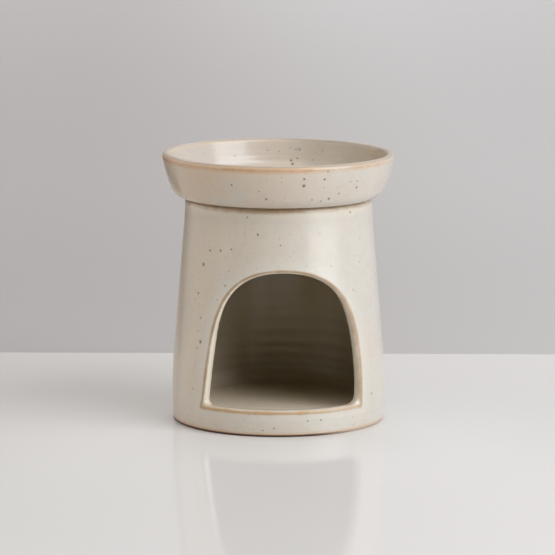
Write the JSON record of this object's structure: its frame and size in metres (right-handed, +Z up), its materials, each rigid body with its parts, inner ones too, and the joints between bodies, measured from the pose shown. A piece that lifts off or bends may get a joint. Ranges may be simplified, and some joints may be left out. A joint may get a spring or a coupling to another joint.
{
  "type": "wax melt burner",
  "caption": "Tapered stoneware burner body with an arched tealight window and a loose shallow melt dish resting on its rim.",
  "frame": {"origin": "middle of the foot, on the surface the burner stands on", "axes": "+Z up along the turning axis, the arched window faces -Y"},
  "size_m": [0.1032, 0.1032, 0.12],
  "materials": {
    "body_glaze": "satin off-white glaze with fine dark speckles, brown where it thins over edges",
    "dish_glaze": "satin off-white glaze with fine dark speckles, brown where it thins over the lip"
  },
  "bodies": {
    "burner": {"burner_body": "body_glaze"},
    "dish": {"melt_dish": "dish_glaze"}
  },
  "joints": [
    {"name": "dish_lift", "type": "slide", "parent": "burner", "child": "dish", "axis": [0, 0, 1], "range_m": [0, 0.04]}
  ]
}
